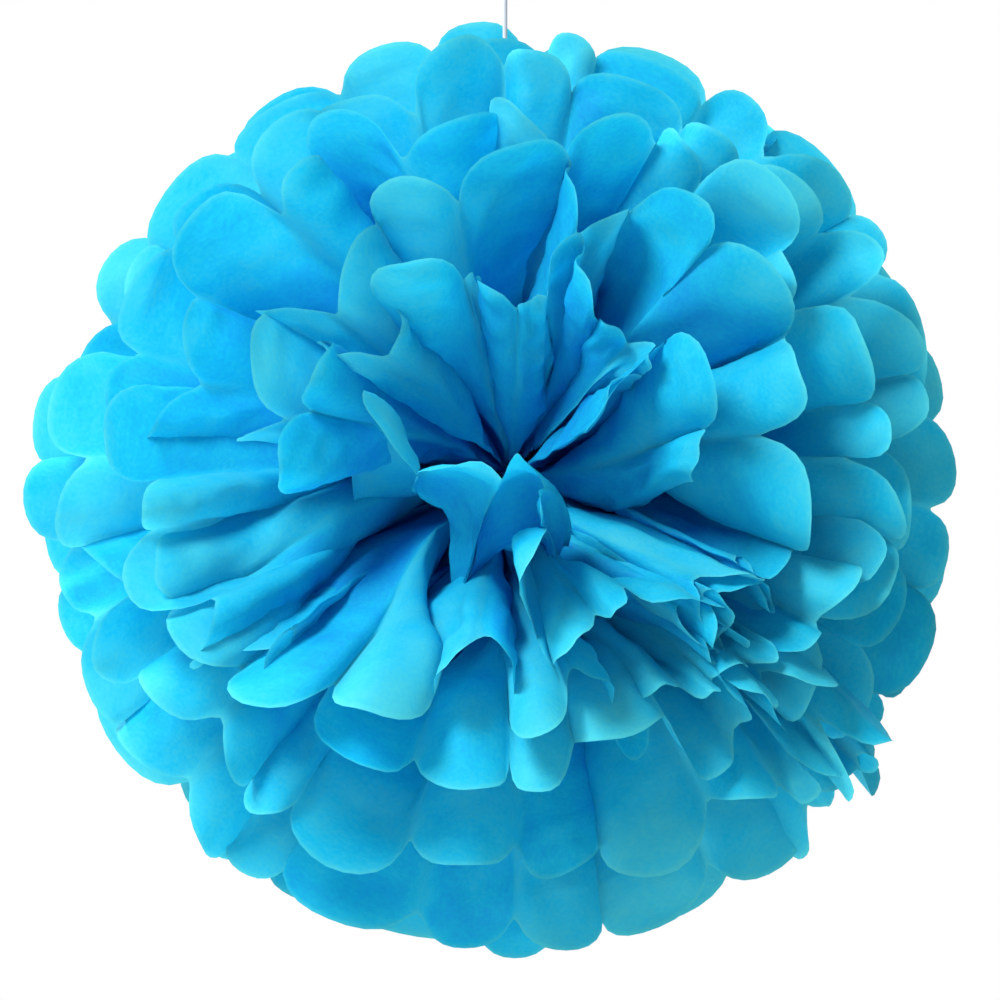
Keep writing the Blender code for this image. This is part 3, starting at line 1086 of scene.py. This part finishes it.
@dataclass(frozen=True)
class Studio:
    """The camera at the photograph's angle, soft light and a pale floor."""

    ball: Ball
    distance: float = 1.5
    metres_per_pixel: float = 0.0002674
    frame_pixels: float = 1000.0
    hub_pixel: tuple[float, float] = (505.0, 480.0)
    world_light: float = 0.24
    floor_drop: float = 0.47
    floor_size: float = 2.4
    floor_colour: Colour = (0.82, 0.82, 0.82, 1.0)
    lamps: tuple[Lamp, ...] = (
        Lamp("key_lamp", (-0.72, -1.03, 1.05), 0.65, 34.0),
        Lamp("window_lamp", (-1.10, 0.45, 1.00), 1.0, 26.0),
        Lamp("rim_lamp", (0.9, 1.1, 0.5), 1.0, 2.0),
    )

    def build(self) -> None:
        """Set up the camera, the lamps, the world and the floor."""
        self._camera()
        self._world()
        for lamp in self.lamps:
            self._hang(lamp)
        self._floor()
        bpy.context.scene.view_settings.view_transform = "Standard"

    def _camera(self) -> None:
        """Look along +Y, with the hub at its place in the picture."""
        data = bpy.data.cameras.new("camera")
        data.sensor_width = 36.0
        data.lens = data.sensor_width * self.distance / (self.frame_pixels * self.metres_per_pixel)
        camera = bpy.data.objects.new("camera", data)
        aside = (self.hub_pixel[0] - self.frame_pixels / 2) * self.metres_per_pixel
        down = (self.frame_pixels / 2 - self.hub_pixel[1]) * self.metres_per_pixel
        centre = self.ball.centre
        camera.location = (centre[0] - aside, centre[1] - self.distance, centre[2] - down)
        camera.rotation_euler = (math.radians(90.0), 0.0, 0.0)
        bpy.context.scene.collection.objects.link(camera)
        bpy.context.scene.camera = camera

    def _world(self) -> None:
        """Surround the ball with soft white light, and show the background as white."""
        shader = Shader(bpy.data.worlds.new("studio"), "OutputWorld")
        white = (1.0, 1.0, 1.0, 1.0)
        light = shader.node("Background", {0: white, 1: self.world_light})
        seen = shader.node("Background", {0: white, 1: 1.0})
        path = shader.node("LightPath", {})
        rays = path.outputs["Is Camera Ray"]
        for name in ("Is Glossy Ray", "Is Transmission Ray"):
            both = {0: rays, 1: path.outputs[name]}
            rays = shader.node("Math", both, operation="MAXIMUM").outputs[0]
        mixed = {0: rays, 1: light.outputs[0], 2: seen.outputs[0]}
        bpy.context.scene.world = shader.finish(shader.node("MixShader", mixed))

    def _hang(self, lamp: Lamp) -> None:
        """Hang a lamp so that it looks at the ball."""
        data = bpy.data.lights.new(lamp.name, "AREA")
        data.shape = "DISK"
        data.size = lamp.size
        data.energy = lamp.watts
        hung = bpy.data.objects.new(lamp.name, data)
        centre = Vector(self.ball.centre)
        hung.location = centre + Vector(lamp.place)
        hung.rotation_euler = (centre - hung.location).to_track_quat("-Z", "Y").to_euler()
        bpy.context.scene.collection.objects.link(hung)

    def _floor(self) -> None:
        """Lay a plain pale floor below the hanging ball."""
        deselect()
        place = (0.0, 0.0, -self.floor_drop)
        bpy.ops.mesh.primitive_plane_add(size=self.floor_size, location=place)
        floor = bpy.context.view_layer.objects.active
        floor.name = "floor"
        bpy.ops.object.transform_apply(location=True)
        shader = Shader.material("pale_floor")
        paint = {"Base Color": self.floor_colour, "Roughness": 0.9}
        floor.data.materials.append(shader.finish(shader.node("BsdfPrincipled", paint)))


def curled(sheet: int, fan: Fan, curls: dict[int, float], **more: float) -> tuple[Pull, ...]:
    """Give pulls that bend the tips of some petals, by the petals' numbers."""
    return tuple(Pull(sheet, fan, petal, curl=curl, **more) for petal, curl in curls.items())


PULLS: tuple[Pull, ...] = (
    *curled(1, Fan.UPPER, {0: -0.005, 1: -0.006}, belly=0.6),
    *curled(1, Fan.UPPER, {4: -0.006}, longer=0.007, belly=0.9),
    *curled(1, Fan.UPPER, {5: -0.004, 14: -0.006, 15: -0.004}),
    *curled(1, Fan.LOWER, {0: 0.002, 1: 0.004, 2: 0.006, 3: 0.003, 6: -0.004}),
    *curled(2, Fan.LOWER, {0: -0.008, 1: -0.009, 2: -0.010, 3: -0.012, 6: -0.010}, belly=0.5),
    *curled(4, Fan.LOWER, {13: -0.002}, lean=-9.0, longer=0.006),
    *curled(4, Fan.LOWER, {14: -0.002}, lean=-9.0, longer=0.009),
    *curled(4, Fan.LOWER, {15: -0.002}, lean=-8.0, longer=0.006),
)


def placed(*ends: tuple[float, ...]) -> tuple[Place, ...]:
    """Give the places of a fan's folds, from the seam's left end to its right end."""
    return tuple(Place(*end) for end in ends)


PLACES: dict[tuple[int, Fan], tuple[Place, ...]] = {
    (1, Fan.UPPER): placed(
        (186, 28.5), (163, 28.5), (143, 26.0), (138, 20.5), (128, 27.0), (103, 27.0),
        (98, 22.5), (86, 19.0), (77, 18.5), (71, 33.0), (58, 22.0), (46, 25.5), (36, 19.0),
        (26, 13.0), (40, 28.5), (12, 28.5), (-3, 22.5),
    ),
    (1, Fan.LOWER): placed(
        (146, 22.0, 196, 20.0), (176, 12.0, 210, 23.0), (240, 0.5, 256, 29.0),
        (356, 6.5, 266, 27.0), (318, 7.5, 277, 20.0), (283, 17.0, 282, 17.0),
        (287, 19.5, 286, 19.0), (305, 20.0, 300, 17.0), (320, 16.0, 312, 15.0),
        (330, 30.5, 318, 21.0), (322, 32.5), (328, 29.0), (325, 35.0), (331, 31.0), (329, 35.5),
        (335, 31.0), (338, 34.0),
    ),
    (2, Fan.LOWER): placed(
        (188, 46.0), (200, 46.0), (215, 39.0), (230, 28.5), (253, 24.5), (263, 20.5, 262, 26.0),
        (271, 24.5, 270, 27.0), (287, 25.5, 284, 27.0), (294, 31.0), (302, 36.0), (310, 35.0),
        (315, 39.0), (322, 41.0), (329, 44.5), (337, 46.5), (346, 54.0), (356, 57.5),
    ),
}


def dress_tie(material: bpy.types.Material) -> None:
    """Give the wire of the solids its finish."""
    tie = bpy.data.objects["tie_wire"]
    for slot in tie.material_slots:
        slot.material = material


def main() -> None:
    """Build every piece, then the studio."""
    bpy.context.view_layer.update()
    ball = Ball()
    tissue = TissueFinish().material()
    for number in range(1, 2 * ball.sheets_a_side + 1):
        sheet = Sheet(number, ball, PULLS, PLACES)
        piece = sheet.build(tissue)
        sheet.declare(piece)
        LOG.info("%s: %d faces", piece.name, len(piece.data.polygons))
    HangingThread(ball).build(ThreadFinish().material())
    dress_tie(WireFinish().material())
    LOG.info("thread, loop and tie are dressed")
    Studio(ball).build()


if __name__ == "__main__":
    logging.basicConfig(level=logging.INFO)
    main()
